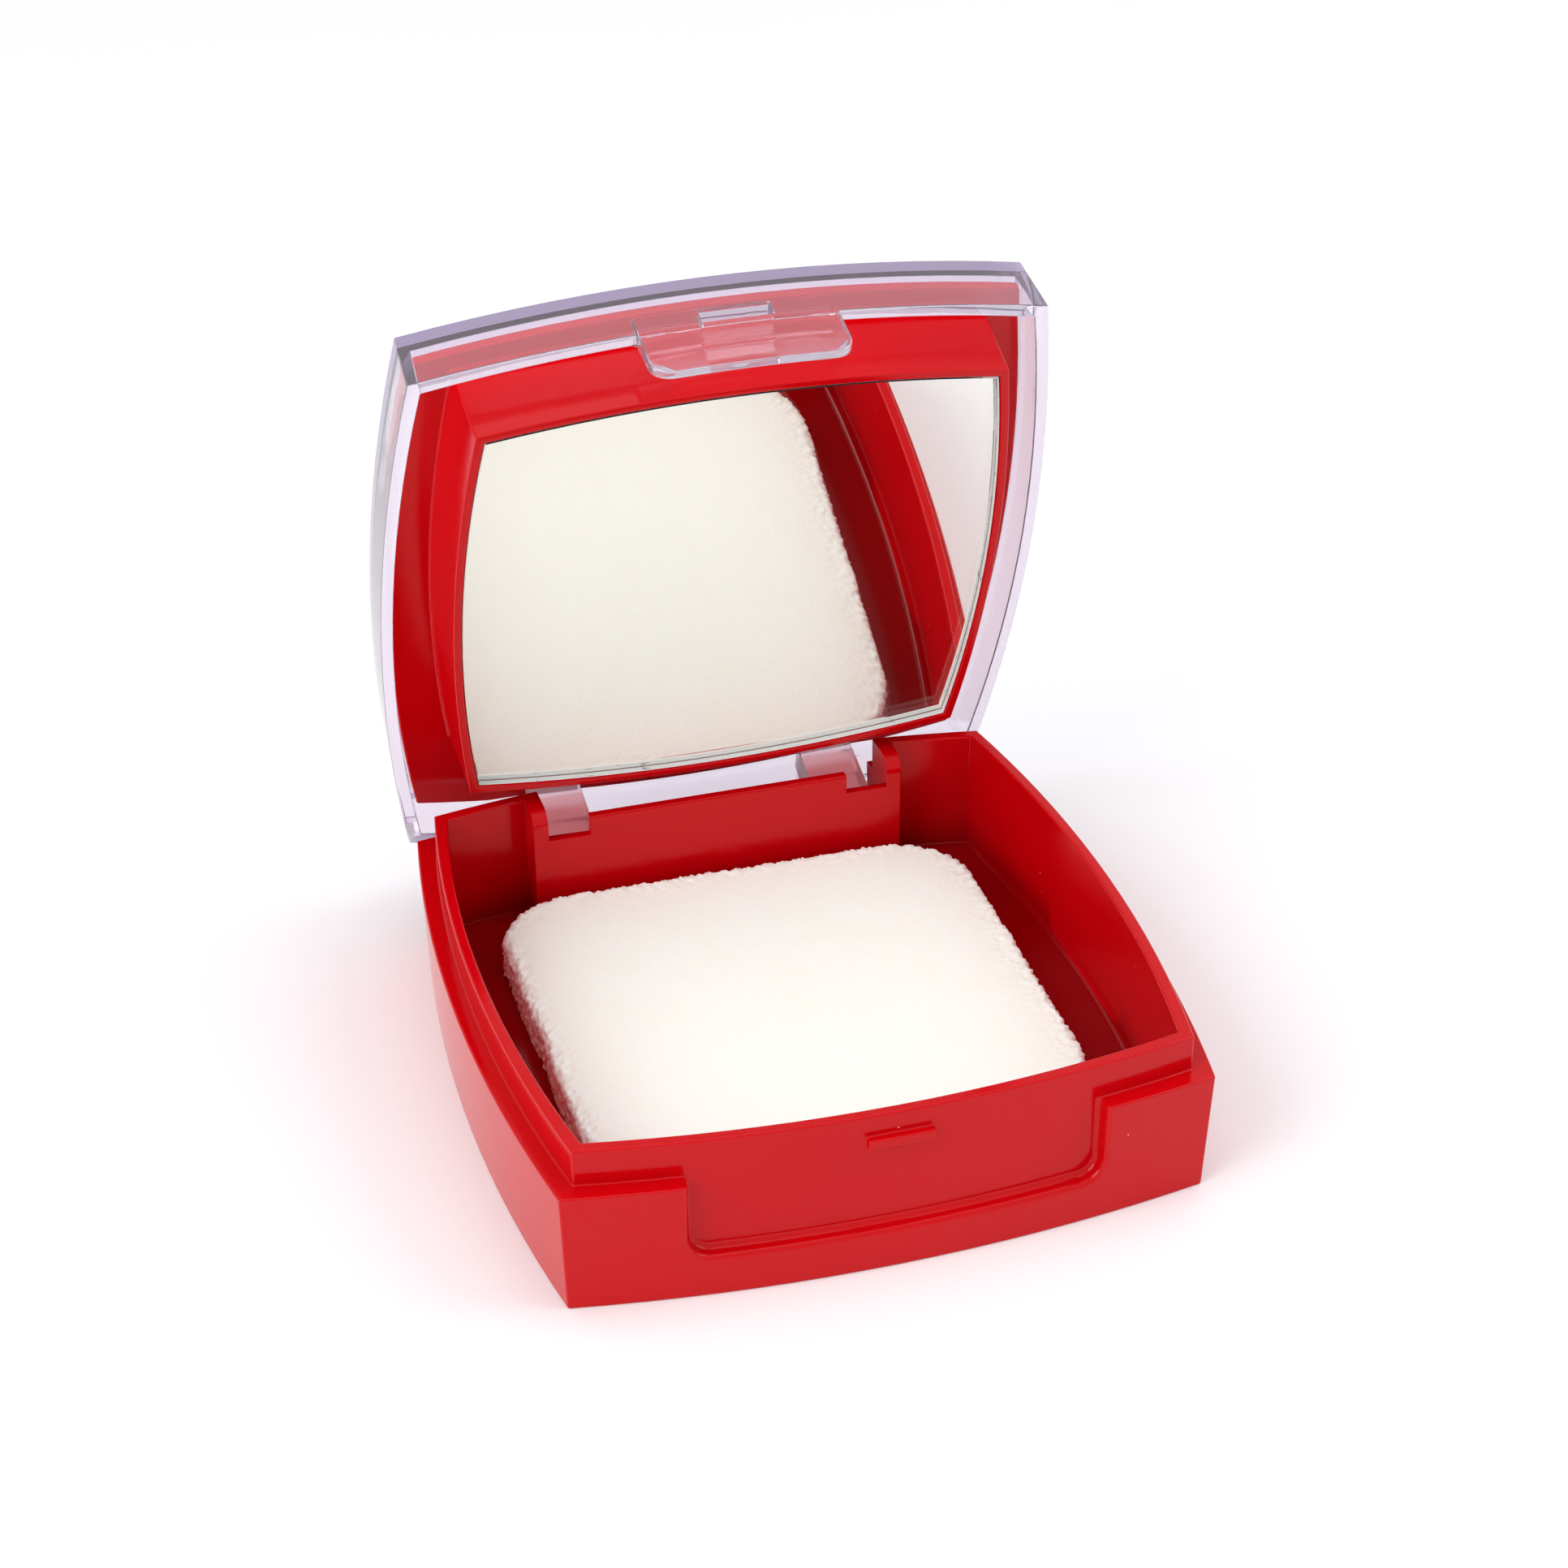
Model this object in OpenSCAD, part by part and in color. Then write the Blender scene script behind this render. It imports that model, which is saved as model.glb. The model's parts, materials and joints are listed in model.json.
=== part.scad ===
/* [Base] */
// Width of the base between its corners, left to right
base_w = 72; // [60:0.5:90]
// Depth of the base between its corners, front to back
base_d = 72; // [60:0.5:90]
// How far the front and back walls bow out past the corners
front_bulge = 3.3; // [1:0.1:5]
// How far the left and right walls bow out past the corners
side_bulge = 3.1; // [1:0.1:5]
// Height of the thick outer shell, up to the ledge the lid closes on
shell_h = 14.7; // [11:0.1:20]
// How much the outer shell narrows from its ledge down to the table
shell_draft = 0.6; // [0.1:0.1:1.5]
// Width of the ledge round the rim
ledge_w = 2.0; // [1.6:0.1:3]
// Height of the rim above the ledge
rim_h = 4.3; // [3:0.1:6]
// Thickness of the rim wall
rim_wall = 1.25; // [0.9:0.05:2]
// Height of the well floor above the table
floor_z = 3.9; // [3.4:0.1:6]
// Depth of the recess under the base
under_recess = 0.5; // [0.2:0.1:0.8]
// Width of the foot left round the recess under the base
foot_w = 3.5; // [2:0.1:6]

/* [Thumb recess and catch] */
// Width of the thumb recess in the front wall
recess_w = 45.6; // [30:0.2:54]
// Height of the thumb recess floor above the table
recess_z = 5.15; // [3:0.05:8]
// Corner radius of the thumb recess
recess_r = 2.6; // [1:0.1:5]
// Length of the catch rib
rib_w = 7.4; // [4:0.1:12]
// Height of the catch rib from its lower to its upper side
rib_h = 1.2; // [0.8:0.05:2]
// How far the catch rib stands out from the rim
rib_out = 0.95; // [0.5:0.05:1.3]
// Height of the catch rib's middle above the ledge
rib_z = 1.15; // [0.9:0.05:2.5]

/* [Hinge] */
// How far the hinge line lies below the ledge
hinge_drop = 5.3; // [4.5:0.1:6]
// How far the hinge line lies behind the rear corners
hinge_back = 0.1; // [-1:0.05:1]
// Angle the lid stands open from shut
open_angle = 73.4; // [0:0.1:113]
// Diameter of each hinge pin
pin_d = 1.6; // [1:0.1:2]
// How far each pin runs into the base at either end
pin_grip = 2.5; // [1.5:0.1:4]
// Half width of the hinge pocket
pocket_half = 21.1; // [16:0.1:26]
// Half width of the fixed middle barrel
barrel_half = 13.7; // [8:0.1:16]
// Radius of the fixed middle barrel
barrel_r = 2.6; // [2:0.1:3.2]
// Radius of the lid lugs round their pins
lug_r = 2.4; // [1.8:0.1:3]
// Height of the hinge pocket floor above the table
pocket_z = 4.8; // [3.5:0.1:6]
// How far the hinge wall stands in front of the rear corners
hinge_wall_in = 5.7; // [5:0.1:9]
// Thickness of the hinge wall
hinge_wall_t = 1.2; // [0.9:0.1:2]
// Drop from the rim top to the hinge wall's top
hinge_wall_drop = 1.3; // [0.5:0.1:3]
// Thickness of the ears at each end of the hinge wall
ear_t = 1.8; // [1.2:0.1:3]
// Rounding of the ears at their top front edge
ear_r = 2.0; // [0.5:0.1:3]
// Width of each notch in the hinge wall
notch_w = 5.1; // [3:0.1:6]
// Depth of each notch below the hinge wall's top
notch_depth = 2.5; // [1:0.1:4]

/* [Lid] */
// Depth of the lid from its rim to its top
lid_h = 8.5; // [7:0.1:12]
// Thickness of the lid's side walls
lid_wall = 1.4; // [1:0.05:2]
// Thickness of the lid's top
lid_top = 2.0; // [0.8:0.05:3]
// How much the lid narrows from its rim to its top
lid_draft = 0.4; // [0.1:0.1:1]
// Width of the opening tab
tab_w = 22.4; // [14:0.2:30]
// How far the tab hangs below the lid's rim
tab_drop = 7.3; // [4:0.1:9]
// How far the tab reaches up the lid's side
tab_up = 2.3; // [2.1:0.1:4]
// How far the tab stands out from the lid's side
tab_out = 0.5; // [0.2:0.05:1]
// Thickness of the tab at its free end
tab_t = 1.0; // [0.7:0.05:1.8]
// Rounding of the tab's free corners
tab_r = 2.4; // [0.5:0.1:4]
// Width of the slot the catch rib clicks into
slot_w = 8.0; // [5:0.1:13]
// Height of the slot the catch rib clicks into
slot_h = 2.0; // [1.4:0.05:2.6]

/* [Mirror and frame] */
// Gap left over the sponge by the mirror box when the lid is shut
mirror_gap = 0.3; // [0.2:0.05:4]
// Gap between the mirror box and the well's side corners
bezel_side_gap = 2.95; // [1:0.05:6]
// Gap between the mirror box and the well's front corners
bezel_front_gap = 0.25; // [0.15:0.05:3]
// Gap between the mirror box and the hinge wall
bezel_rear_gap = 7.9; // [4:0.1:12]
// How far the mirror box's four walls bow out
bezel_bulge = 2.2; // [1:0.1:4]
// How much the mirror box narrows from the flange to its mouth
bezel_draft = 0.5; // [0.1:0.1:1]
// Width of the lip round the mirror
bezel_lip = 0.9; // [0.6:0.05:2]
// Width of the seat behind the mirror
seat_w = 2.0; // [1:0.1:4]
// Thickness of the frame flange
flange_t = 1.2; // [0.8:0.1:1.4]
// How far the flange's rear edge may reach behind its corners
flange_rear = 1.5; // [0.5:0.1:3]
// Thickness of the mirror with its silvering
mirror_t = 1.8; // [1:0.05:2.5]
// Thickness of the silvering and its backing paint
silver_t = 0.1; // [0.05:0.01:0.2]
// Thickness of the mirror tape
tape_t = 0.25; // [0.1:0.05:0.5]

/* [Powder and sponge] */
// How far the powder pan stays inside the sponge's outline
pan_inset = 3.0; // [1:0.1:8]
// Height of the powder pan
pan_h = 2.3; // [1.6:0.1:2.4]
// Thickness of the pan's sheet
pan_wall = 0.4; // [0.25:0.05:0.6]
// Corner radius of the pan
pan_r = 6; // [2:0.5:12]
// Gap between the sponge and the well's side corners
sponge_side_gap = 4.0; // [1:0.1:8]
// Gap between the sponge and the well's front corners
sponge_front_gap = 5.55; // [1:0.05:10]
// Gap between the sponge and the hinge wall
sponge_back_gap = 1.9; // [0.5:0.1:6]
// Thickness of the sponge
sponge_h = 5.0; // [3:0.1:5.2]
// Corner radius of the sponge
sponge_r = 9; // [3:0.5:20]

/* [Clearances] */
// Gap all round a hinge pin where it turns in the base
pin_clear = 0.05; // [0.02:0.01:0.1]
// Gap between each lug and the walls beside it
lug_clear = 0.3; // [0.1:0.05:0.6]
// Gap between the shut lid's rim and the ledge
lid_gap = 0.2; // [0.1:0.05:0.5]
// Gap between the frame and the lid round and above it
frame_clear = 0.1; // [0.05:0.05:0.4]
// Gap round the mirror in its lip
mirror_clear = 0.12; // [0.05:0.01:0.3]
// Gap round the pan in its pocket
pan_clear = 0.3; // [0.1:0.05:0.6]
// Thickness of the glue under the pan
glue_t = 0.15; // [0.1:0.05:0.3]

/* [Hidden] */
$fn = 180;
eps = 0.01;
far = 60;
half_w = base_w / 2;
half_d = base_d / 2;
rim_top = shell_h + rim_h;
rim_hw = half_w - ledge_w;
rim_hd = half_d - ledge_w;
well_hw = rim_hw - rim_wall;
well_hd = rim_hd - rim_wall;
well_draft = 0.2;
wall_front_y = half_d - hinge_wall_in;
wall_back_y = wall_front_y + hinge_wall_t;
wall_top = rim_top - hinge_wall_drop;
ear_half = pocket_half + ear_t;
hinge_y = half_d + hinge_back;
hinge_z = shell_h - hinge_drop;
pin_r = pin_d / 2;
pin_from = barrel_half - pin_grip;
pin_to = pocket_half + pin_grip;
lid_z = shell_h + lid_gap;
lid_sweep_r = 5.45;
lug_from = barrel_half + lug_clear;
lug_to = pocket_half - lug_clear;
lug_rise = 3.9;
lug_top = lid_z + lug_rise;
lug_back = 2.0;
lid_in_hw = half_w - lid_wall;
lid_in_hd = half_d - lid_wall;
lid_in_top = lid_z + lid_h - lid_top;
tab_root = 1.0;
tab_taper = lid_wall + tab_out - tab_t;
rib_mid = shell_h + rib_z;
flange_z = rim_top + 0.4;
flange_hw = lid_in_hw - lid_draft - frame_clear;
flange_hd = lid_in_hd - lid_draft - frame_clear;
back_inset = 0.8;
back_z = lid_in_top - frame_clear;
back_t = 1.1;
mouth_z = floor_z + sponge_h + mirror_gap;
bezel_h = flange_z - mouth_z;
bezel_hw = well_hw - bezel_side_gap;
bezel_front = -well_hd + bezel_front_gap;
bezel_back = wall_front_y - bezel_rear_gap;
bezel_mid = (bezel_front + bezel_back) / 2;
bezel_hd = (bezel_back - bezel_front) / 2;
lip_hw = bezel_hw - bezel_lip;
lip_hd = bezel_hd - bezel_lip;
glass_hw = lip_hw - mirror_clear;
glass_hd = lip_hd - mirror_clear;
glass_sink = 0.08;
glass_z = mouth_z + glass_sink;
seat_z = glass_z + mirror_t + tape_t;
sponge_x = -0.7;
sponge_w = 2 * (well_hw - sponge_side_gap);
sponge_d = well_hd - sponge_front_gap + wall_front_y - sponge_back_gap;
sponge_y = wall_front_y - sponge_back_gap - sponge_d / 2;
pan_w = min(sponge_w, sponge_d) - 2 * pan_inset;
pan_y = (wall_front_y - well_hd) / 2;
pan_sink = 0.15;
pan_pocket_z = floor_z - pan_h - glue_t - pan_sink;
glue_inset = 5;
glue_r = 3;
powder_gap = 0.1;

// Radius of an arc from half its width and its rise
function arc_r(half, rise) = (half * half + rise * rise) / (2 * rise);

// Block with four bowed walls, its walls spreading by grow over its height
module bowed_block(hw, hd, rise_x, rise_y, h, grow) {
  ry = arc_r(hw, rise_y);
  rx = arc_r(hd, rise_x);
  intersection() {
    translate([0, ry - hd - rise_y, 0])
      cylinder(h = h, r1 = ry, r2 = ry + grow);
    translate([0, hd + rise_y - ry, 0])
      cylinder(h = h, r1 = ry, r2 = ry + grow);
    translate([rx - hw - rise_x, 0, 0])
      cylinder(h = h, r1 = rx, r2 = rx + grow);
    translate([hw + rise_x - rx, 0, 0])
      cylinder(h = h, r1 = rx, r2 = rx + grow);
  }
}

// Block following the compact's own outline, inset from it
module shell_block(hw, hd, h, grow) {
  bowed_block(hw, hd, side_bulge, front_bulge, h, grow);
}

// Block following the mirror box's outline
module mirror_block(hw, hd, z, h, grow) {
  translate([0, bezel_mid, z])
    bowed_block(hw, hd, bezel_bulge, bezel_bulge, h, grow);
}

// Flat plate with rounded corners
module rounded_plate(w, d, r, h) {
  linear_extrude(height = h) {
    square([w - 2 * r, d], center = true);
    square([w, d - 2 * r], center = true);
    translate([w / 2 - r, d / 2 - r]) circle(r = r);
    translate([r - w / 2, d / 2 - r]) circle(r = r);
    translate([w / 2 - r, r - d / 2]) circle(r = r);
    translate([r - w / 2, r - d / 2]) circle(r = r);
  }
}

// Bar across the compact from one x to another
module cross_bar(x0, x1, y, z, r) {
  translate([x0, y, z])
    rotate([0, 90, 0])
      cylinder(h = x1 - x0, r = r);
}

// Box given by its two far corners
module box(x0, x1, y0, y1, z0, z1) {
  translate([x0, y0, z0])
    cube([x1 - x0, y1 - y0, z1 - z0]);
}

// Turns what belongs to the lid from shut to its open pose
module lid_pose() {
  translate([0, hinge_y, hinge_z])
    rotate([-open_angle, 0, 0])
      translate([0, -hinge_y, -hinge_z])
        children();
}

// Upright panel with rounded lower corners, for the recess and the tab
module front_panel(w, r, z0, z1, y0, y1) {
  translate([0, y1, 0])
    rotate([90, 0, 0])
      linear_extrude(height = y1 - y0) {
        translate([-w / 2, z0 + r]) square([w, z1 - z0 - r]);
        translate([r - w / 2, z0]) square([w - 2 * r, r + eps]);
        translate([r - w / 2, z0 + r]) circle(r = r);
        translate([w / 2 - r, z0 + r]) circle(r = r);
      }
}

// Solid outer form of the base with its rim
module base_body() {
  shell_block(half_w - shell_draft, half_d - shell_draft, shell_h, shell_draft);
  shell_block(rim_hw, rim_hd, rim_top, 0);
}

// Space of the well, leaving the hinge wall and ears standing
module well_space() {
  difference() {
    translate([0, 0, floor_z])
      shell_block(well_hw - well_draft, well_hd - well_draft, rim_h + shell_h, well_draft);
    box(-ear_half, ear_half, wall_front_y, far, 0, far);
  }
}

// Rounding taken off both ears at their top front edge
module ear_rounding() {
  difference() {
    box(-ear_half, ear_half, wall_front_y - 1, wall_front_y + ear_r, rim_top - ear_r, far);
    cross_bar(-far, far, wall_front_y + ear_r, rim_top - ear_r, ear_r);
  }
}

// Room for the lid's rear edge as it swings past the ledge
module ledge_relief() {
  difference() {
    box(-half_w, half_w, hinge_y, far, hinge_z, shell_h + eps);
    cross_bar(-far, far, hinge_y, hinge_z, lid_sweep_r);
  }
}

// Notch in the hinge wall, on the side given
module notch(side) {
  mid = side * (pocket_half - notch_w / 2);
  box(mid - notch_w / 2, mid + notch_w / 2, wall_front_y - 1, wall_back_y + 1,
    wall_top - notch_depth, far);
}

// Fixed barrel between the lid's lugs, carried up from the pocket floor
module barrel() {
  intersection() {
    box(-barrel_half, barrel_half, wall_back_y - eps, far, pocket_z - eps, hinge_z);
    shell_block(half_w - shell_draft, half_d - shell_draft, shell_h, shell_draft);
  }
  cross_bar(-barrel_half, barrel_half, hinge_y, hinge_z, barrel_r);
}

// Catch rib on the front of the rim
module catch_rib() {
  intersection() {
    box(-rib_w / 2, rib_w / 2, -far, rim_wall / 2 - rim_hd - front_bulge,
      rib_mid - rib_h / 2, rib_mid + rib_h / 2);
    translate([0, -rib_out, 0])
      shell_block(rim_hw, rim_hd, rim_top, 0);
  }
}

module base_shell() {
  color([0.78, 0.03, 0.06])
    difference() {
      union() {
        difference() {
          base_body();
          well_space();
          box(-pocket_half, pocket_half, wall_back_y, far, pocket_z, far);
          box(-pocket_half, pocket_half, wall_front_y - 1, wall_back_y + 1, wall_top, far);
          notch(-1);
          notch(1);
          ear_rounding();
          ledge_relief();
          difference() {
            front_panel(recess_w, recess_r, recess_z, shell_h + eps, -far, 0);
            shell_block(rim_hw, rim_hd, far, 0);
          }
        }
        barrel();
        catch_rib();
      }
      cross_bar(pin_from, pin_to, hinge_y, hinge_z, pin_r + pin_clear);
      cross_bar(-pin_to, -pin_from, hinge_y, hinge_z, pin_r + pin_clear);
      translate([0, pan_y, pan_pocket_z])
        rounded_plate(pan_w + 2 * pan_clear, pan_w + 2 * pan_clear, pan_r + pan_clear, far);
      translate([0, 0, -eps])
        shell_block(half_w - foot_w, half_d - foot_w, under_recess + eps, 0);
    }
}

module powder_pan() {
  color([0.8, 0.8, 0.82])
    translate([0, pan_y, pan_pocket_z + glue_t])
      difference() {
        rounded_plate(pan_w, pan_w, pan_r, pan_h);
        translate([0, 0, pan_wall])
          rounded_plate(pan_w - 2 * pan_wall, pan_w - 2 * pan_wall, pan_r - pan_wall, pan_h);
      }
}

module pan_adhesive() {
  color([0.9, 0.9, 0.85])
    translate([0, pan_y, pan_pocket_z])
      rounded_plate(pan_w - 2 * glue_inset, pan_w - 2 * glue_inset, glue_r, glue_t);
}

module pressed_powder() {
  color([0.87, 0.7, 0.56])
    translate([0, pan_y, pan_pocket_z + glue_t + pan_wall])
      rounded_plate(pan_w - 2 * pan_wall, pan_w - 2 * pan_wall, pan_r - pan_wall,
        pan_h - pan_wall - powder_gap);
}

module sponge() {
  color([0.98, 0.96, 0.88])
    translate([sponge_x, sponge_y, floor_z])
      rounded_plate(sponge_w, sponge_d, sponge_r, sponge_h);
}

module hinge_pin(x0) {
  color([0.7, 0.7, 0.72])
    cross_bar(x0 + eps, x0 + pin_to - pin_from - eps, hinge_y, hinge_z, pin_r);
}

module hinge_pin_left() {
  hinge_pin(-pin_to);
}

module hinge_pin_right() {
  hinge_pin(pin_from);
}

// Lug on the lid's rear wall, from one x to another
module lug(x0, x1) {
  cross_bar(x0, x1, hinge_y, hinge_z, lug_r);
  box(x0, x1, hinge_y - lug_r, hinge_y + lug_back, hinge_z, lug_top);
}

// Opening tab hanging from the lid's front wall, thinning on its inner side towards the free end
module tab() {
  intersection() {
    front_panel(tab_w, tab_r, lid_z - tab_drop, lid_z + tab_up, -far, 0);
    difference() {
      shell_block(half_w + tab_out, half_d + tab_out, far, 0);
      translate([0, 0, -1])
        shell_block(lid_in_hw, lid_in_hd, far + 2, 0);
      translate([0, 0, lid_z - tab_root])
        mirror([0, 0, 1])
          shell_block(lid_in_hw, lid_in_hd, tab_drop - tab_root + eps, tab_taper);
    }
  }
}

module lid_cover() {
  color([0.85, 0.8, 0.95, 0.4])
    lid_pose()
      difference() {
        union() {
          difference() {
            translate([0, 0, lid_z + lid_h])
              mirror([0, 0, 1])
                shell_block(half_w - lid_draft, half_d - lid_draft, lid_h, lid_draft);
            translate([0, 0, lid_in_top])
              mirror([0, 0, 1])
                shell_block(lid_in_hw - lid_draft, lid_in_hd - lid_draft,
                  lid_in_top - lid_z + eps, lid_draft);
          }
          tab();
          lug(-lug_to, -lug_from);
          lug(lug_from, lug_to);
        }
        box(-slot_w / 2, slot_w / 2, -far, 0, rib_mid - slot_h / 2, rib_mid + slot_h / 2);
        cross_bar(-lug_to - 1, -lug_from + 1, hinge_y, hinge_z, pin_r);
        cross_bar(lug_from - 1, lug_to + 1, hinge_y, hinge_z, pin_r);
      }
}

module mirror_frame() {
  color([0.78, 0.03, 0.06])
    lid_pose()
      difference() {
        union() {
          intersection() {
            translate([0, 0, flange_z])
              shell_block(flange_hw, flange_hd, flange_t, 0);
            box(-far, far, -far, flange_hd + flange_rear, 0, far);
          }
          translate([0, 0, flange_z])
            shell_block(flange_hw - back_inset, flange_hd - back_inset, back_z - flange_z, 0);
          mirror_block(bezel_hw, bezel_hd, mouth_z, bezel_h + flange_t / 2, bezel_draft);
        }
        mirror_block(lip_hw, lip_hd, mouth_z - 1, seat_z - mouth_z + 1, 0);
        mirror_block(lip_hw - seat_w, lip_hd - seat_w, mouth_z, back_z - back_t - mouth_z, 0);
      }
}

module mirror_glass() {
  color([0.85, 0.9, 0.9, 0.4])
    lid_pose()
      mirror_block(glass_hw, glass_hd, glass_z, mirror_t - silver_t, 0);
}

module mirror_silvering() {
  color([0.9, 0.9, 0.92])
    lid_pose()
      mirror_block(glass_hw, glass_hd, glass_z + mirror_t - silver_t, silver_t, 0);
}

module mirror_tape() {
  color([0.95, 0.95, 0.95])
    lid_pose()
      difference() {
        mirror_block(glass_hw, glass_hd, glass_z + mirror_t, tape_t, 0);
        mirror_block(glass_hw - seat_w, glass_hd - seat_w, glass_z, mirror_t + 2 * tape_t, 0);
      }
}

base_shell();
powder_pan();
pan_adhesive();
pressed_powder();
sponge();
hinge_pin_left();
hinge_pin_right();
lid_cover();
mirror_frame();
mirror_glass();
mirror_silvering();
mirror_tape();
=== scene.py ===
import json
import math

import bmesh
import bpy
import numpy as np
from mathutils import Matrix, Vector


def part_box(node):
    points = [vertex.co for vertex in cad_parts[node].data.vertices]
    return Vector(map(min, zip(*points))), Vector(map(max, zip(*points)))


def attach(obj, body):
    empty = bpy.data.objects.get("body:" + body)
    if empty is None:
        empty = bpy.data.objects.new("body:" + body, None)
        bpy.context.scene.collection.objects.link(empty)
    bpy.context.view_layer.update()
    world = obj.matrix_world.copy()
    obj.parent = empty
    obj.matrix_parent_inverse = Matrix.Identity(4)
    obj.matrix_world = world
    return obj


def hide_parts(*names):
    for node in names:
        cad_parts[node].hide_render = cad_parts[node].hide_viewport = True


mm = 0.001
openAngle = math.radians(73.4)

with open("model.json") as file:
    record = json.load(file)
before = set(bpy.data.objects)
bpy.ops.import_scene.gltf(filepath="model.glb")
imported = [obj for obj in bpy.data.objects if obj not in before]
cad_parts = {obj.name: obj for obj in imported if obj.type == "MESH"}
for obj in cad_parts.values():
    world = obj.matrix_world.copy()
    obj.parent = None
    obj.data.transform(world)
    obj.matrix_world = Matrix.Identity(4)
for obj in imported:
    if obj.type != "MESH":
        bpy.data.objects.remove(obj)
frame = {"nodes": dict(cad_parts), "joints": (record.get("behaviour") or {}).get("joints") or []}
nodes = frame["nodes"]
joints = {joint["name"]: joint for joint in frame["joints"]}
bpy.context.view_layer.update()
print("frame loaded:", len(nodes), "nodes")


def linear(hexColour):
    # sRGB hex to linear light
    channels = [int(hexColour[k : k + 2], 16) / 255 for k in (1, 3, 5)]
    light = [c / 12.92 if c <= 0.04045 else ((c + 0.055) / 1.055) ** 2.4 for c in channels]
    return (*light, 1.0)


def newMaterial(name):
    made = bpy.data.materials.new(name)
    made.use_nodes = True
    return made, made.node_tree, made.node_tree.nodes["Principled BSDF"]


def feed(tree, socket, value):
    # a socket takes another node's output, a hex colour or a plain value
    if isinstance(value, bpy.types.NodeSocket):
        tree.links.new(value, socket)
    else:
        socket.default_value = linear(value) if isinstance(value, str) else value


def add(tree, kind, sockets=(), **settings):
    node = tree.nodes.new(kind)
    for key, value in settings.items():
        setattr(node, key, value)
    for key, value in dict(sockets).items():
        feed(tree, node.inputs[key], value)
    return node


def setShader(tree, shader, **values):
    # underscores stand for the spaces in a socket's name
    for key, value in values.items():
        feed(tree, shader.inputs[key.replace("_", " ")], value)


def objectPlace(tree):
    return add(tree, "ShaderNodeTexCoord").outputs["Object"]


def maths(tree, operation, *values):
    return add(tree, "ShaderNodeMath", dict(enumerate(values)), operation=operation).outputs[0]


def vectors(tree, operation, output, *values):
    node = add(tree, "ShaderNodeVectorMath", dict(enumerate(values)), operation=operation)
    return node.outputs[output]


# A value's run from low to high becomes a run from start to end
def ramp(tree, value, start, end, low=0.0, high=1.0):
    sockets = {0: value, 1: low, 2: high, 3: start, 4: end}
    return add(tree, "ShaderNodeMapRange", sockets).outputs[0]


def blend(tree, share, under, over):
    sockets = {0: share, 6: under, 7: over}
    return add(tree, "ShaderNodeMix", sockets, data_type="RGBA").outputs[2]


# Cloudy noise whose lumps are about a cell across
def noise(tree, place, cell, detail=2.0):
    sockets = {"Vector": place, "Scale": 1 / cell, "Detail": detail}
    return add(tree, "ShaderNodeTexNoise", sockets).outputs[0]


def dent(tree, shader, height, strength, depth):
    bump = add(tree, "ShaderNodeBump", {"Height": height, "Strength": strength, "Distance": depth})
    feed(tree, shader.inputs["Normal"], bump.outputs[0])


def repaint(obj, made):
    obj.data.materials.clear()
    obj.data.materials.append(made)


def newPiece(name, points, faces, body, made):
    mesh = bpy.data.meshes.new(name)
    mesh.from_pydata(points, [], faces)
    mesh.update()
    piece = bpy.data.objects.new(name, mesh)
    bpy.context.scene.collection.objects.link(piece)
    repaint(piece, made)
    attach(piece, body)
    return piece


def smoothShaded(piece):
    for polygon in piece.data.polygons:
        polygon.use_smooth = True


redLook = {
    "full": "#c30009",
    "pale": "#cb020c",
    # the dark red below is painted shade for the well floor
    "paintedWellShade": "#6a0004",
    "dust": "#e8a8a8",
    "cloud": 22 * mm,
    "ripple": 7 * mm,
    "scuff": 4 * mm,
    # painted shade in the well: strongest at the floor height, gone by the next height, at most the share
    # given after them
    "floorZ": 3.9 * mm,
    "shadeFadesZ": 8.5 * mm,
    "shadeShareMost": 0.62,
    "wellHalf": 35.3 * mm,
    "dustCell": 3.2 * mm,
    "dustReach": 0.028,
    "dustDraw": 0.86,
}


# ABS, injection moulded in a polished tool: saturated, high gloss, with a faint flow ripple and stray dust,
# and painted shade that darkens it towards the well floor
def glossyRedAbs():
    look = redLook
    made, tree, shader = newMaterial("glossyRedAbs")
    place = objectPlace(tree)
    cloudy = blend(tree, noise(tree, place, look["cloud"]), look["full"], look["pale"])
    # painted shade: the colour is darkened towards the well floor, standing in for the shade that falls deep
    # in the well; deepened towards the well floor to match its darker tone, the cause of which is not known
    spot = add(tree, "ShaderNodeSeparateXYZ", {0: place}).outputs
    low = ramp(tree, spot[2], look["shadeShareMost"], 0.0, look["floorZ"], look["shadeFadesZ"])
    furthest = maths(tree, "MAXIMUM", *(maths(tree, "ABSOLUTE", spot[k]) for k in (0, 1)))
    inside = maths(tree, "LESS_THAN", furthest, look["wellHalf"])
    wellShadePainted = blend(tree, maths(tree, "MULTIPLY", low, inside), cloudy, look["paintedWellShade"])
    # stray dust, a speck at the middle of each cell whose own draw is high
    sockets = {"Vector": place, "Scale": 1 / look["dustCell"], "Randomness": 1.0}
    cells = add(tree, "ShaderNodeTexVoronoi", sockets).outputs
    near = maths(tree, "LESS_THAN", cells["Distance"], look["dustReach"])
    draw = add(tree, "ShaderNodeSeparateColor", {0: cells["Color"]}).outputs[0]
    speck = maths(tree, "MULTIPLY", near, maths(tree, "GREATER_THAN", draw, look["dustDraw"]))
    dent(tree, shader, noise(tree, place, look["ripple"], 1.0), 0.10, 0.05 * mm)
    setShader(
        tree,
        shader,
        Base_Color=blend(tree, speck, wellShadePainted, look["dust"]),
        Roughness=ramp(tree, noise(tree, place, look["scuff"], 5.0), 0.09, 0.17),
        IOR=1.53,
        Specular_IOR_Level=0.22,
    )
    return made


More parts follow.
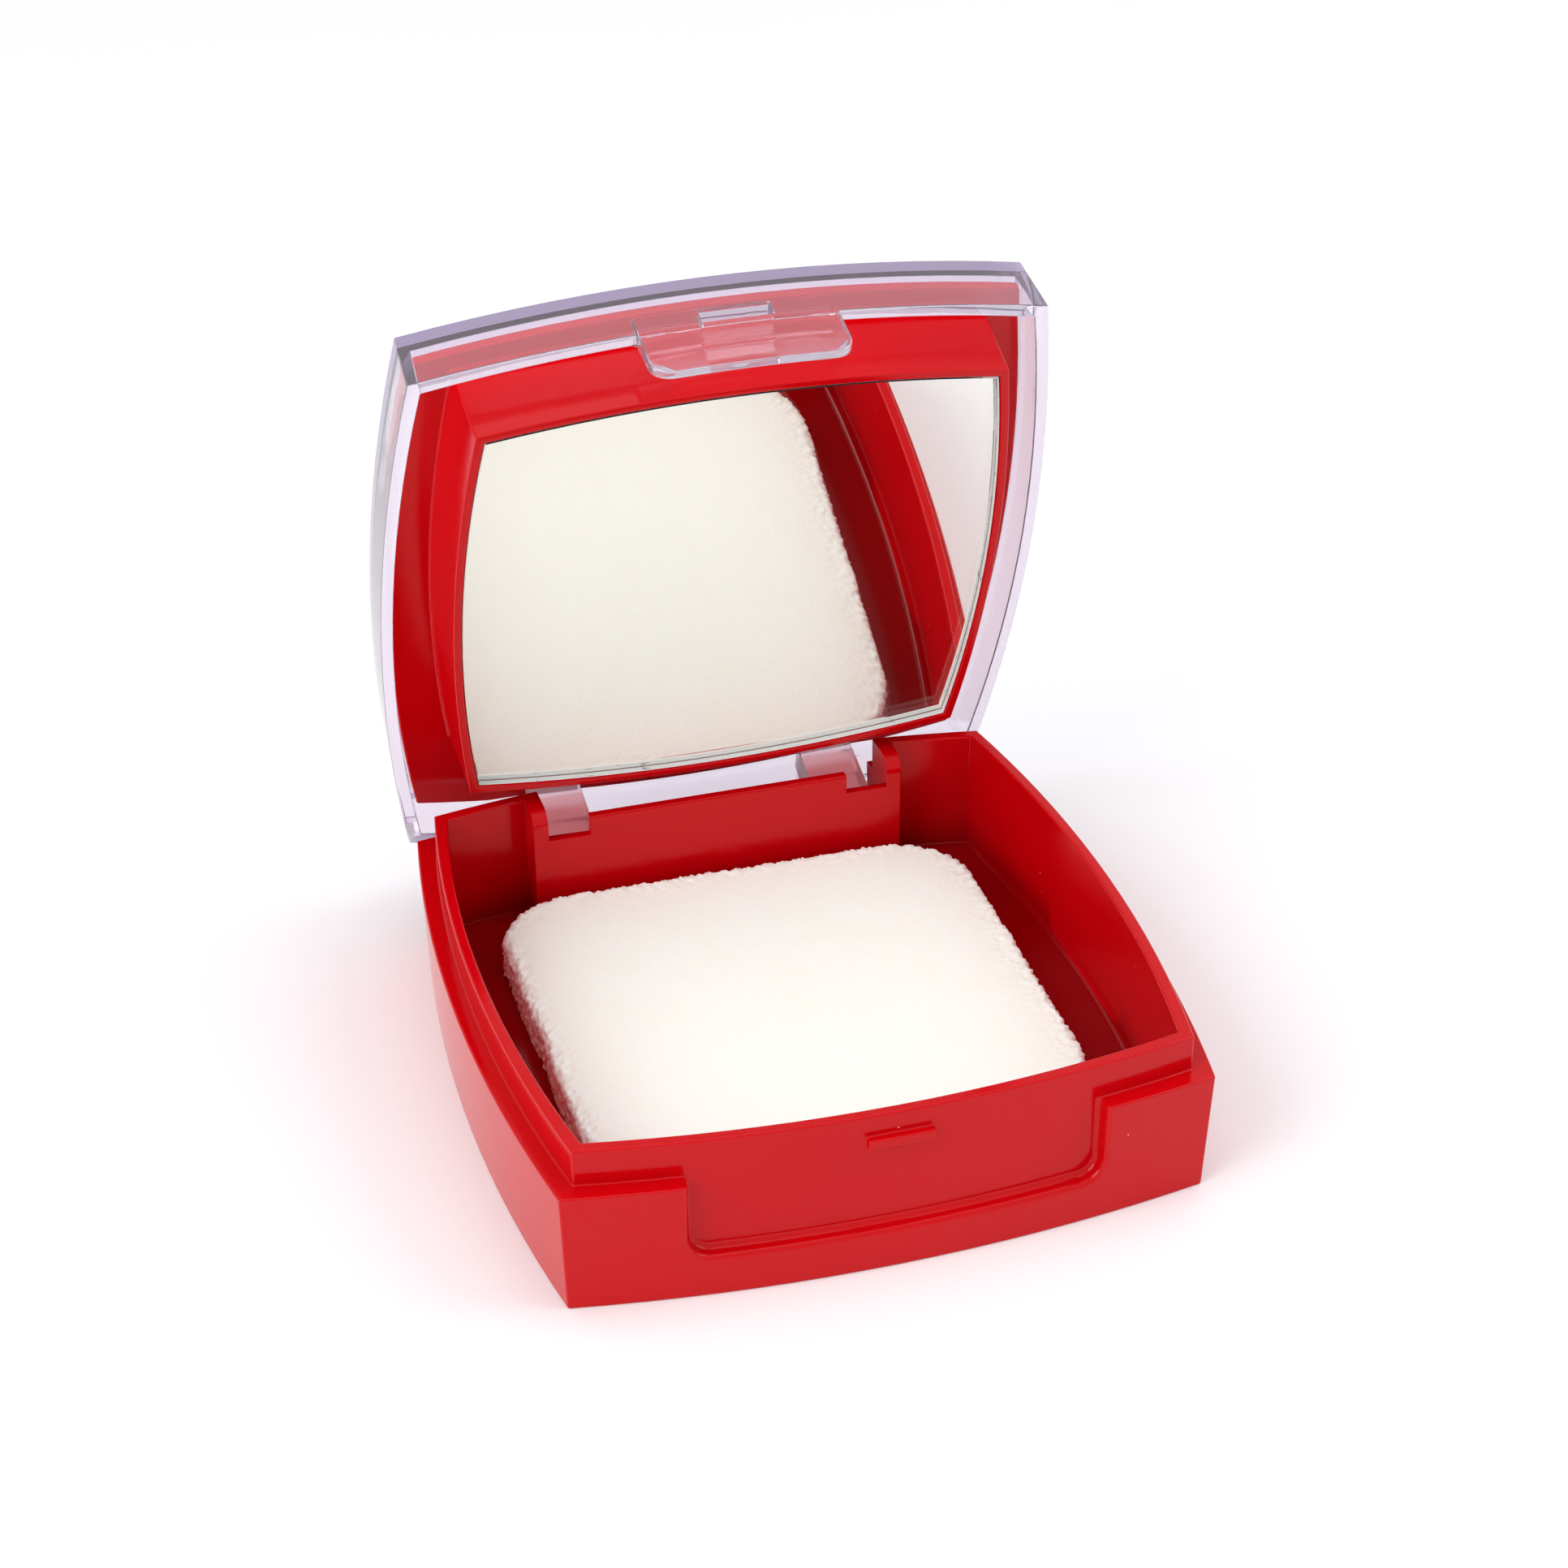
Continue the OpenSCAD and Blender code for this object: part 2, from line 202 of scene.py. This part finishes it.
sanLook = {
    "clear": "#f6f0fb",
    # pink painted reflection of the red parts around the lugs
    "lug": "#d07a7e",
    # pale lilac painted light for the panel's upright edge
    "panelEdgePaintedLight": "#c3b4d6",
    "toner": "#c6b6e2",
    "tonerDensity": 7.0,
    "flow": 9 * mm,
    "lineX": 4.95 * mm,
    "lineHalf": 0.09 * mm,
    "lineFromZ": 72 * mm,
    "lineRise": 1.6,
    "lugX": 17.4 * mm,
    "lugHalf": 3.5 * mm,
    "lugReach": 7.6 * mm,
    "lugFade": 9.2 * mm,
    "panelLift": 13.0 * mm,
    "panelHalf": 0.95 * mm,
}


# SAN, injection moulded, polished: clear with a faint lilac toner that gathers where it is seen edge on.
# The lugs are matt and carry a painted reflection of the red around them, which tints them pink, and two
# fine lines run down the front.
def lilacClearSan():
    look = sanLook
    made, tree, shader = newMaterial("lilacClearSan")
    place = objectPlace(tree)
    spot = add(tree, "ShaderNodeSeparateXYZ", {0: place}).outputs
    outward = maths(tree, "ABSOLUTE", spot[0])
    line = maths(tree, "COMPARE", outward, look["lineX"], look["lineHalf"])
    mark = maths(tree, "MULTIPLY", line, maths(tree, "GREATER_THAN", spot[2], look["lineFromZ"]))
    height = maths(tree, "MULTIPLY_ADD", mark, look["lineRise"], noise(tree, place, look["flow"]))
    dent(tree, shader, height, 0.12, 0.05 * mm)
    fromHinge = vectors(tree, "SUBTRACT", "Vector", place, joints["lid_hinge"]["pos_m"])
    across = vectors(tree, "MULTIPLY", "Vector", fromHinge, (0, 1, 1))
    reach = vectors(tree, "LENGTH", "Value", across)
    near = ramp(tree, reach, 1.0, 0.0, look["lugReach"], look["lugFade"])
    lug = maths(tree, "MULTIPLY", near, maths(tree, "COMPARE", outward, look["lugX"], look["lugHalf"]))
    # painted light: the panel's upright edge is painted paler and less clear, standing in for the light
    # carried along inside the panel
    panelUp = (0, math.sin(openAngle), math.cos(openAngle))
    lifted = vectors(tree, "DOT_PRODUCT", "Value", fromHinge, panelUp)
    panelEdgePaintedLight = maths(tree, "COMPARE", lifted, look["panelLift"], look["panelHalf"])
    # the pink on the lugs is a painted reflection of the red parts around them
    tone = blend(tree, lug, look["clear"], look["lug"])
    sockets = {"Color": look["toner"], "Density": look["tonerDensity"]}
    toner = add(tree, "ShaderNodeVolumeAbsorption", sockets)
    feed(tree, tree.nodes["Material Output"].inputs["Volume"], toner.outputs[0])
    setShader(
        tree,
        shader,
        # the panel's upright edge gets painted light, paler and less clear
        Base_Color=blend(tree, panelEdgePaintedLight, tone, look["panelEdgePaintedLight"]),
        Roughness=ramp(tree, lug, 0.015, 0.3),
        Transmission_Weight=ramp(tree, panelEdgePaintedLight, 0.955, 0.45),
        IOR=1.57,
    )
    return made


# Float glass, polished faces
def polishedFloatGlass():
    made, tree, shader = newMaterial("polishedFloatGlass")
    setShader(tree, shader, Base_Color="#fbfcfb", IOR=1.52, Roughness=0.0, Transmission_Weight=1.0)
    return made


# Glass edge, ground: frosted white, with a few grey chips in it
def groundGlassEdge():
    made, tree, shader = newMaterial("groundGlassEdge")
    chips = noise(tree, objectPlace(tree), 1.6 * mm, 4.0)
    worn = ramp(tree, chips, 0.0, 1.0, 0.62, 0.72)
    setShader(tree, shader, Base_Color=blend(tree, worn, "#fdfefc", "#9aa09b"), Roughness=0.4, IOR=1.52)
    return made


# Silver film on glass: a true metal mirror, a shade warm
def silverFilm():
    made, tree, shader = newMaterial("silverFilm")
    setShader(tree, shader, Base_Color="#f7f7f5", Metallic=1.0, Roughness=0.0)
    return made


# Latex foam, cut from a slab: open cells, cream white, light carried a little way in
def creamFoam():
    made, tree, shader = newMaterial("creamFoam")
    place = objectPlace(tree)
    cells = add(tree, "ShaderNodeTexVoronoi", {"Vector": place, "Scale": 1 / (0.42 * mm)}).outputs
    fine = noise(tree, place, 0.9 * mm, 6.0)
    dent(tree, shader, maths(tree, "MULTIPLY_ADD", cells["Distance"], 0.6, fine), 0.35, 0.15 * mm)
    setShader(
        tree,
        shader,
        Base_Color=blend(tree, noise(tree, place, 6 * mm, 4.0), "#fbf9ec", "#fefdf5"),
        Roughness=0.95,
        IOR=1.4,
        Specular_IOR_Level=0.2,
        Subsurface_Weight=0.35,
        Subsurface_Scale=0.8 * mm,
        Subsurface_Radius=(1.0, 0.8, 0.6),
    )
    return made


# Drawn sheet or wire, bright, with fine lines along the way it was drawn
def drawnMetal(name, colour, roughness, spread=0.07):
    made, tree, shader = newMaterial(name)
    lines = add(tree, "ShaderNodeMapping", {"Vector": objectPlace(tree), "Scale": (1.0, 12.0, 12.0)})
    grain = noise(tree, lines.outputs[0], 2 * mm, 3.0)
    rough = ramp(tree, grain, roughness - spread, roughness + spread)
    setShader(tree, shader, Base_Color=colour, Metallic=1.0, Roughness=rough)
    return made


# Pressed powder, glue and tape: dull, with a grain of their own
def dullGrain(name, darkColour, paleColour, grainSize, roughness):
    made, tree, shader = newMaterial(name)
    grain = noise(tree, objectPlace(tree), grainSize, 5.0)
    dent(tree, shader, grain, 0.3, 0.1 * mm)
    setShader(tree, shader, Base_Color=blend(tree, grain, darkColour, paleColour), Roughness=roughness)
    return made


redAbs = glossyRedAbs()
clearSan = lilacClearSan()
floatGlass = polishedFloatGlass()
groundEdge = groundGlassEdge()
silver = silverFilm()
foam = creamFoam()
panSheet = drawnMetal("drawnAluminium", "#cfcfd2", 0.25)
pinWire = drawnMetal("drawnSteelWire", "#b9babd", 0.3)
facePowder = dullGrain("pressedPowder", "#cfa27c", "#dcb48f", 0.4 * mm, 0.95)
hotMelt = dullGrain("hotMeltGlue", "#ded9c6", "#ebe7d8", 3 * mm, 0.45)
tissueTape = dullGrain("tissueTape", "#dedede", "#efefef", 1.2 * mm, 0.7)
print("materials made")


def nodePoints(node):
    mesh = nodes[node].data
    points = np.empty(len(mesh.vertices) * 3)
    mesh.vertices.foreach_get("co", points)
    return points.reshape(-1, 3)


joining = {
    "weld": 0.002 * mm,
    "sliver": 0.001 * mm,
    "looseTurn": math.radians(8),
    "flatTurn": math.radians(0.4),
    "sharpTurn": math.radians(28),
}


# Points that lie loose inside a face leave a bevel no room, so they go, and flat areas are made whole
def joinFlatAreas(work):
    steepest = {v: max(e.calc_face_angle(math.pi) for e in v.link_edges) for v in work.verts}
    loose = [v for v, turn in steepest.items() if turn < joining["looseTurn"]]
    bmesh.ops.dissolve_verts(work, verts=loose)
    bmesh.ops.triangulate(work, faces=[f for f in work.faces if len(f.verts) > 3])
    bmesh.ops.dissolve_limit(
        work,
        angle_limit=joining["flatTurn"],
        verts=work.verts,
        edges=work.edges,
        use_dissolve_boundaries=False,
    )


# One merged copy of a CAD node. Every sharp edge gets a bevel whose width a rule picks from where the
# edge lies and which way it turns. An edge with no width stays crisp.
def roundedCopy(name, node, widths, body, made, segments=4, joinFlat=True):
    faces = [list(polygon.vertices) for polygon in nodes[node].data.polygons]
    piece = newPiece(name, nodePoints(node).tolist(), faces, body, made)
    work = bmesh.new()
    work.from_mesh(piece.data)
    bmesh.ops.remove_doubles(work, verts=work.verts, dist=joining["weld"])
    bmesh.ops.dissolve_degenerate(work, edges=work.edges, dist=joining["sliver"])
    if joinFlat:
        joinFlatAreas(work)
    weight = work.edges.layers.float.new("bevel_weight_edge")
    paired = [edge for edge in work.edges if len(edge.link_faces) == 2]
    turned = [(edge, edge.calc_face_angle_signed(0.0)) for edge in paired]
    turned = [(edge, turn) for edge, turn in turned if abs(turn) > joining["sharpTurn"]]
    ends = np.array([[list(vert.co) for vert in edge.verts] for edge, _ in turned])
    wanted = widths(ends / mm, np.array([turn for _, turn in turned]))
    widest = float(wanted.max())
    for (edge, _), width in zip(turned, wanted):
        edge[weight] = float(width) / widest
        edge.smooth = bool(width > 0)
    work.to_mesh(piece.data)
    work.free()
    smoothShaded(piece)
    bevel = piece.modifiers.new("softEdges", "BEVEL")
    bevel.limit_method = "WEIGHT"
    bevel.offset_type = "OFFSET"
    bevel.width = widest * mm
    bevel.segments = segments
    bevel.use_clamp_overlap = False
    bevel.loop_slide = False
    bevel.miter_outer = "MITER_SHARP"
    shading = piece.modifiers.new("flatFacesStayFlat", "WEIGHTED_NORMAL")
    shading.mode = "FACE_AREA"
    shading.weight = 100
    shading.keep_sharp = True
    return piece


lidAxis = np.array(Vector(joints["lid_hinge"]["pos_m"]) / mm)


# Lid points swung about the hinge: opened by a positive angle, shut again by a negative one
def swungPoints(points, angle):
    offset = points - lidAxis
    c, s = math.cos(angle), math.sin(angle)
    turned = offset.copy()
    turned[..., 1] = c * offset[..., 1] + s * offset[..., 2]
    turned[..., 2] = c * offset[..., 2] - s * offset[..., 1]
    return turned + lidAxis


def shutPoints(points):
    return swungPoints(points, -openAngle)


baseSizes = {
    "ledgeZ": 14.7,
    "rimZ": 19.0,
    "floorZ": 3.9,
    "hingeWallY": 31,
    "frontBackY": 30,
    "recessHalf": 22.8,
    "recessZ": 5.15,
    "recessFillet": 0.72,
    "panHalf": 26,
    "panY": -1.2,
    "ribHalf": 4,
    "ribTop": 17,
    "ribEdge": 0.2,
    "earX": 21.9,
    "earHalf": 1.6,
    "earY": (29.5, 34),
    "earZ": 14.9,
    "floorFillet": 0.9,
    "edge": 0.25,
    "innerEdge": 0.18,
    "small": 0.12,
    "slack": 0.1,
}


def baseWidths(ends, turns):
    size = baseSizes
    slack = size["slack"]
    low, high = ends.min(1), ends.max(1)
    x, y, z = ends.mean(1).T
    width = np.where(turns > 0, size["edge"], size["innerEdge"])
    # floor to wall, all round the well
    onFloor = (abs(low[:, 2] - size["floorZ"]) < slack / 2) & (abs(high[:, 2] - size["floorZ"]) < slack / 2)
    atWall = onFloor & (turns < 0) & (y < size["hingeWallY"])
    width[atWall] = size["floorFillet"]
    width[onFloor & (turns > 0)] = size["small"]
    # both outlines of the thumb recess, below the ledge
    front = y < -size["frontBackY"]
    level = (z > size["recessZ"] - slack) & (z < size["ledgeZ"] - slack)
    width[front & level & (abs(x) < size["recessHalf"] + slack)] = size["recessFillet"]
    # inside of the pan pocket and the hidden underside
    overPan = (abs(x) < size["panHalf"]) & (abs(y - size["panY"]) < size["panHalf"])
    pocket = (high[:, 2] < size["floorZ"] + slack / 10) & overPan
    width[pocket & ~atWall] = size["small"]
    # catch rib
    onRib = (abs(x) < size["ribHalf"]) & (z > size["ledgeZ"] + 2 * slack) & (z < size["ribTop"])
    width[front & onRib] = size["ribEdge"]
    # hinge pocket
    back = y > size["frontBackY"]
    width[back & (z < size["rimZ"] - slack)] = size["small"]
    # the small ears beside the hinge pocket have no room for a rounding
    beside = abs(abs(x) - size["earX"]) < size["earHalf"]
    behind = (y > size["earY"][0]) & (y < size["earY"][1])
    width[beside & behind & (z > size["earZ"])] = 0
    return width


base = roundedCopy("baseShell", "base_shell", baseWidths, "base", redAbs)
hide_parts("base_shell")
print("base made")


lidSizes = {"edge": 0.18, "inner": 0.15}


def lidWidths(ends, turns):
    return np.where(turns > 0, lidSizes["edge"], lidSizes["inner"])


lid = roundedCopy(
    "lidCover", "lid_cover", lidWidths, "lid", clearSan, segments=3, joinFlat=False
)
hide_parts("lid_cover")
lid.visible_shadow = False  # light passes the clear cover, which a shadow ray alone would not
print("lid made")


frameSizes = {"lip": 0.15, "lipZ": 12, "edge": 0.25, "foot": 0.3}


def frameWidths(ends, turns):
    width = np.where(turns > 0, frameSizes["edge"], frameSizes["foot"])
    width[shutPoints(ends).mean(1)[:, 2] < frameSizes["lipZ"]] = frameSizes["lip"]
    return width


mirrorFrame = roundedCopy(
    "mirrorFrame", "mirror_frame", frameWidths, "lid", redAbs, joinFlat=False
)
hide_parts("mirror_frame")
print("mirror frame made")


mirrorSizes = {"arris": 0.12, "filmInset": 0.02, "filmSink": 0.02, "flatWithin": 0.01}


# Corners of a node's lowest face, in order round their middle
def slabOutline(shut, low):
    outline = np.unique(np.round(shut[shut[:, 2] < low + mirrorSizes["flatWithin"], :2], 3), axis=0)
    middle = (outline.min(0) + outline.max(0)) / 2
    return outline[np.argsort(np.arctan2(outline[:, 1] - middle[1], outline[:, 0] - middle[0]))]


# Flat slab on a CAD node's own outline, its rim stepped by rings of (inset, height above the slab's front)
def makeSlab(name, node, rings, body, finishes):
    shut = shutPoints(nodePoints(node) / mm)
    low = shut[:, 2].min()
    outline = slabOutline(shut, low)
    side = np.roll(outline, -1, axis=0) - outline
    side /= np.linalg.norm(side, axis=1)[:, None]
    outward = np.stack([side[:, 1], -side[:, 0]], 1)
    before = np.roll(outward, 1, axis=0)
    mitre = (before + outward) / (1 + (before * outward).sum(1))[:, None]
    count = len(outline)
    loops = [np.column_stack([outline - inset * mitre, np.full(count, low + rise)]) for inset, rise in rings]
    index = np.arange(count * len(rings)).reshape(len(rings), count)
    after = np.roll(index, -1, axis=1)
    walls = np.stack([index[:-1], after[:-1], after[1:], index[1:]], -1).reshape(-1, 4)
    faces = [index[0][::-1].tolist(), index[-1].tolist()] + walls.tolist()
    opened = swungPoints(np.concatenate(loops), openAngle) * mm
    piece = newPiece(name, opened.tolist(), faces, body, finishes[0])
    for finish in finishes[1:]:
        piece.data.materials.append(finish)
        # only the upright part of the rim is ground, the arrises beside it are polished
        upright = np.repeat([0] + [1] * (len(rings) - 3) + [0], count)
        piece.data.polygons.foreach_set("material_index", [0, 0] + upright.tolist())
    return piece


def slabDepth(node):
    return float(np.ptp(shutPoints(nodePoints(node) / mm)[:, 2]))


def makeMirror():
    arris, inset, sink = (mirrorSizes[key] for key in ("arris", "filmInset", "filmSink"))
    depth = slabDepth("mirror_glass")
    rings = [(arris, 0), (0, arris), (0, depth - arris), (arris, depth)]
    glass = makeSlab("mirrorGlass", "mirror_glass", rings, "lid", [floatGlass, groundEdge])
    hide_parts("mirror_glass")
    # the film starts a hair inside the glass, as silver does that was laid on it
    film = [(arris + inset, -sink), (arris + inset, slabDepth("mirror_silvering") - sink)]
    silvering = makeSlab("silverFilm", "mirror_silvering", film, "lid", [silver])
    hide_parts("mirror_silvering")
    glass.visible_shadow = False  # light passes glass, which a shadow ray alone would not


makeMirror()
print("mirror made")


# Hash noise on a lattice, blended smoothly between its corners: one value from 0 to 1 per point
def latticeNoise(points, cell, seed):
    grid = points / cell
    corner = np.floor(grid).astype(np.int64)
    part = grid - corner
    part = part * part * (3 - 2 * part)
    total = np.zeros(len(points))
    for dx, dy, dz in np.ndindex(2, 2, 2):
        at = corner + np.array([dx, dy, dz])
        mixed = (at[:, 0] * 73856093) ^ (at[:, 1] * 19349663) ^ (at[:, 2] * 83492791) ^ (seed * 2654435761)
        mixed = (mixed ^ (mixed >> 13)) * 1274126177 & 0x7FFFFFFF
        mixed = (mixed ^ (mixed >> 16)) & 0xFFFF
        share = np.prod(np.where([dx, dy, dz], part, 1 - part), axis=1)
        total += share * mixed / 0xFFFF
    return total


spongeSizes = {
    "inset": 0.15,
    "cornerR": 9.3,
    "topRound": 0.9,
    "footRound": 0.5,
    "crown": 0.12,
    "turn": -0.6,
    "wobble": 0.45,
    "grain": 0.45,
    "flatGrain": 0.02,
    "edgeShare": 0.1,
    "skin": 0.01,
    "weld": 0.0002,
    "around": 900,
}


# A rounded square walked by arc length: four straights, each followed by a quarter circle
def spongeOutline(halfX, halfY, r, around):
    t = np.linspace(0, 2 * np.pi, around, endpoint=False)
    sides = np.array([2 * (halfY - r), 2 * (halfX - r)] * 2)
    quarter = np.pi / 2 * r
    s = t / (2 * np.pi) * (sides.sum() + 4 * quarter)
    outline, normal = np.zeros((2, around, 2))
    corners = np.array([[1, -1], [1, 1], [-1, 1], [-1, -1]]) * [halfX - r, halfY - r]
    start = 0.0
    for k in range(4):
        heading = k * np.pi / 2
        out = np.array([np.cos(heading), np.sin(heading)])
        along = np.array([-np.sin(heading), np.cos(heading)])
        straight = (s >= start) & (s < start + sides[k])
        outline[straight] = corners[k] + r * out + np.outer(s[straight] - start, along)
        normal[straight] = out
        start += sides[k]
        bend = (s >= start) & (s < start + quarter)
        angle = heading + (s[bend] - start) / r
        spin = np.stack([np.cos(angle), np.sin(angle)], 1)
        outline[bend] = corners[(k + 1) % 4] + r * spin
        normal[bend] = spin
        start += quarter
    return outline, normal


# Rings from the top's middle to the bottom's: share of the way out, inset, height, upward part of the normal
def spongeProfile(h, topR, footR):
    top = np.sqrt(np.linspace(0.0, 1.0, 46))[:-1]
    bend = np.linspace(0, np.pi / 2, 7)
    wall = np.linspace(h - topR, -h + footR, 18)[1:-1]
    under = np.linspace(1, 0, 9)[1:]
    whole, none = np.ones(len(bend)), np.zeros(len(wall))
    stretches = [
        (top, np.full(len(top), topR), np.full(len(top), h), np.ones(len(top))),
        (whole, topR * (1 - np.sin(bend)), h - topR * (1 - np.cos(bend)), np.cos(bend)),
        (np.ones(len(wall)), none, wall, none),
        (whole, footR * (1 - np.cos(bend)), -h + footR * (1 - np.sin(bend)), -np.sin(bend)),
        (under, np.full(len(under), footR), np.full(len(under), -h), -np.ones(len(under))),
    ]
    return [np.concatenate(column) for column in zip(*stretches)]


# The outline wanders, the cut skin is rough towards its edge, and the top is slightly crowned
def wornPoints(flat, facing, reach, height, h):
    size = spongeSizes
    wander = latticeNoise(flat * [1, 1, 0.25], 9.0, 3) - 0.5
    wander = wander + 0.6 * (latticeNoise(flat * [1, 1, 0.4], 3.5, 4) - 0.5)
    rough = latticeNoise(flat, 0.45, 5) + 0.8 * latticeNoise(flat, 0.24, 6) - 0.9
    atEdge = np.clip((reach - (1 - size["edgeShare"])) / size["edgeShare"], 0, 1)
    push = size["wobble"] * wander[:, None] * facing * [1, 1, 0] * atEdge[:, None]
    share = size["flatGrain"] + (1 - size["flatGrain"]) * atEdge
    amount = size["grain"] * share * (height > -h + 0.1)
    worn = flat + push + facing * (rough * amount)[:, None]
    crown = size["crown"] * (1 - reach**2) * (height >= h - 1e-6)
    worn[:, 2] += crown - size["crown"] * (height > 0)
    return worn


# Loose sponge: a rounded square carried through a rounded edge profile, then worn
def makeSponge():
    size = spongeSizes
    low, high = (np.array(corner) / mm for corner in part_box("sponge"))
    half = (high - low) / 2
    h, around = half[2], size["around"]
    halfX, halfY = half[:2] - size["inset"]
    outline, normal = spongeOutline(halfX, halfY, size["cornerR"], around)
    share, inset, height, upright = spongeProfile(h, size["topRound"], size["footRound"])
    rings = len(share)
    points, facing = np.zeros((2, rings, around, 3))
    edge = outline[None] - inset[:, None, None] * normal[None]
    points[..., :2] = edge * share[:, None, None]
    points[..., 2] = height[:, None]
    facing[..., :2] = normal[None] * np.sqrt(1 - upright**2)[:, None, None]
    facing[..., 2] = upright[:, None]
    turn = math.radians(size["turn"])
    c, s = math.cos(turn), math.sin(turn)
    spin = np.array([[c, -s, 0], [s, c, 0], [0, 0, 1]])
    flat, facing = points.reshape(-1, 3) @ spin.T, facing.reshape(-1, 3) @ spin.T
    worn = wornPoints(flat, facing, np.repeat(share, around), np.repeat(height, around), h)
    worn = np.clip(worn + (low + high) / 2, low + size["skin"], high - size["skin"])
    index = np.arange(rings * around).reshape(rings, around)
    following = np.roll(index, -1, axis=1)
    quads = np.stack([index[:-1], index[1:], following[1:], following[:-1]], -1).reshape(-1, 4)
    piece = newPiece("spongePuff", (worn * mm).tolist(), quads.tolist(), "sponge", foam)
    work = bmesh.new()
    work.from_mesh(piece.data)
    bmesh.ops.remove_doubles(work, verts=work.verts, dist=size["weld"] * mm)
    bmesh.ops.recalc_face_normals(work, faces=work.faces)
    work.to_mesh(piece.data)
    work.free()
    smoothShaded(piece)
    return piece


sponge = makeSponge()
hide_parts("sponge")
print("sponge made")

for node, made in {
    "powder_pan": panSheet,
    "pan_adhesive": hotMelt,
    "pressed_powder": facePowder,
    "hinge_pin_left": pinWire,
    "hinge_pin_right": pinWire,
    "mirror_tape": tissueTape,
}.items():
    repaint(nodes[node], made)


# Pale floor, wide enough to fill every view
def makeFloor():
    made, tree, shader = newMaterial("paleFloor")
    tone = blend(tree, noise(tree, objectPlace(tree), 60 * mm), "#fafafa", "#fcfcfc")
    setShader(tree, shader, Base_Color=tone, Roughness=0.8, Specular_IOR_Level=0.1)
    reach = 4.0
    corners = [(-reach, -reach, 0), (reach, -reach, 0), (reach, reach, 0), (-reach, reach, 0)]
    mesh = bpy.data.meshes.new("paleFloor")
    mesh.from_pydata(corners, [], [(0, 1, 2, 3)])
    floor = bpy.data.objects.new("paleFloor", mesh)
    bpy.context.scene.collection.objects.link(floor)
    repaint(floor, made)


makeFloor()


# Softboxes: power in watts, side in metres, place
studio = {
    "skyStrength": 0.68,
    "skyColour": "#fbfbff",
    "top": (2.0, 0.9, (0.1, 0.1, 1.2)),
    "left": (5.5, 0.7, (-0.8, -0.3, 0.66)),
    "right": (3.0, 0.7, (0.8, -0.2, 0.7)),
}


def areaLight(name, power, width, place, target):
    lamp = bpy.data.lights.new(name, "AREA")
    lamp.energy = power
    lamp.shape = "SQUARE"
    lamp.size = width
    holder = bpy.data.objects.new(name, lamp)
    bpy.context.scene.collection.objects.link(holder)
    holder.location = place
    holder.rotation_euler = (Vector(target) - Vector(place)).to_track_quat("-Z", "Y").to_euler()


def makeLight():
    world = bpy.data.worlds.new("whiteStudio")
    bpy.context.scene.world = world
    world.use_nodes = True
    sky = world.node_tree.nodes["Background"]
    sky.inputs["Color"].default_value = linear(studio["skyColour"])
    sky.inputs["Strength"].default_value = studio["skyStrength"]
    for side in ("top", "left", "right"):
        areaLight(side + "Softbox", *studio[side], (0, 0, 0.02))


makeLight()


# Camera: direction, roll, aim and distance of the viewing angle wanted
shot = {
    "azimuth": -16.801,
    "elevation": 30.983,
    "roll": -0.269,
    "aim": (12.849, 46.227, 8.0),
    "distance": 413.501,
    "lens": 75.15,
}


def makeCamera():
    turn, rise, roll = (math.radians(shot[key]) for key in ("azimuth", "elevation", "roll"))
    back = Vector((math.sin(turn) * math.cos(rise), -math.cos(turn) * math.cos(rise), math.sin(rise)))
    right = Vector((0, 0, 1)).cross(back).normalized()
    up = back.cross(right)
    rolledRight = right * math.cos(roll) + up * math.sin(roll)
    rolledUp = up * math.cos(roll) - right * math.sin(roll)
    place = (Vector(shot["aim"]) + back * shot["distance"]) * mm
    data = bpy.data.cameras.new("camera")
    data.lens = shot["lens"]
    data.sensor_width = 36.0
    data.clip_start, data.clip_end = 0.01, 50.0
    camera = bpy.data.objects.new("camera", data)
    bpy.context.scene.collection.objects.link(camera)
    facing = Matrix((rolledRight, rolledUp, back)).transposed()
    camera.matrix_world = Matrix.Translation(place) @ facing.to_4x4()
    bpy.context.scene.camera = camera


makeCamera()
scene = bpy.context.scene
# enough bounces for light to cross the clear walls, the glass and back
scene.cycles.max_bounces = 32
scene.cycles.transmission_bounces = 32
scene.cycles.glossy_bounces = 12
scene.view_settings.view_transform = "Standard"
print("floor, light and camera made")
